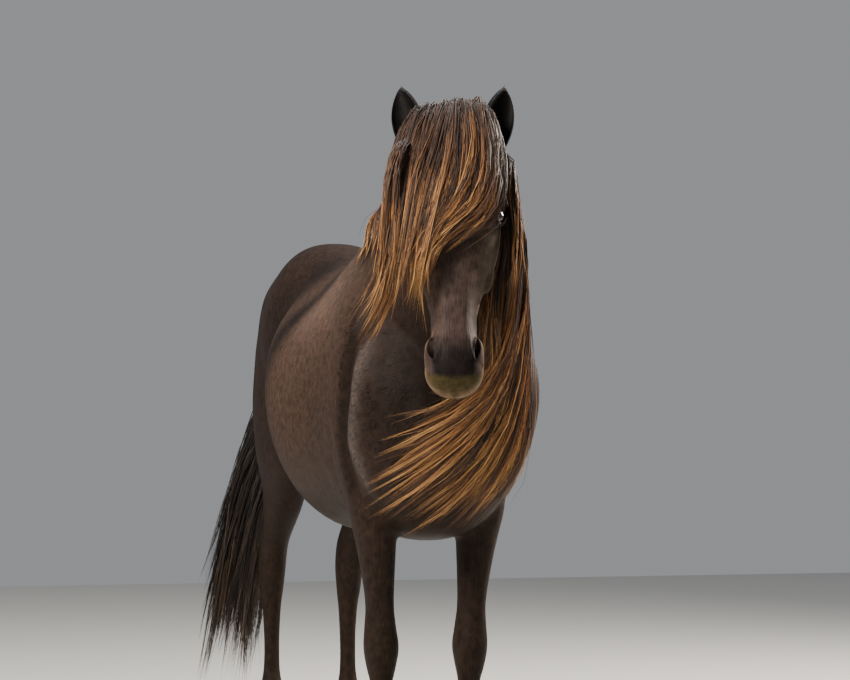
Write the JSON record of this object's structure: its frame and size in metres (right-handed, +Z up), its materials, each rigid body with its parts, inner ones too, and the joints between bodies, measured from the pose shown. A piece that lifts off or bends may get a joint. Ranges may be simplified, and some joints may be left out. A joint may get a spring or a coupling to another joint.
{
  "type": "icelandic horse",
  "caption": "Life-size standing Icelandic horse, dark brown, head turned to its right, with a long wind-blown mane, forelock and tail",
  "frame": {"origin": "on the floor under the middle of the whole horse's box", "axes": "+Z up, the horse faces -Y, its left side is +X"},
  "size_m": [0.5667, 1.9866, 1.5617],
  "materials": {
    "coat": "short dark brown fur, slightly glossy along the muscles",
    "leg_coat": "short near-black fur of the lower legs",
    "mane": "long straight hair, dark brown at the root, bleached to orange and gold at the tips",
    "tail_hair": "long straight dark grey-brown hair",
    "horn": "dark hoof horn, dull, with faint growth rings",
    "eye": "wet dark brown eye with a horizontal pupil"
  },
  "bodies": {
    "root": {"torso": "coat", "neck": "mane", "head": "coat", "tail": "tail_hair", "right_foreleg": "leg_coat", "left_foreleg": "leg_coat", "right_hind_leg": "leg_coat", "left_hind_leg": "leg_coat", "right_fore_hoof": "horn", "left_fore_hoof": "horn", "right_hind_hoof": "horn", "left_hind_hoof": "horn", "right_ear": "coat", "left_ear": "coat", "right_eye": "eye", "left_eye": "eye"}
  },
  "joints": []
}
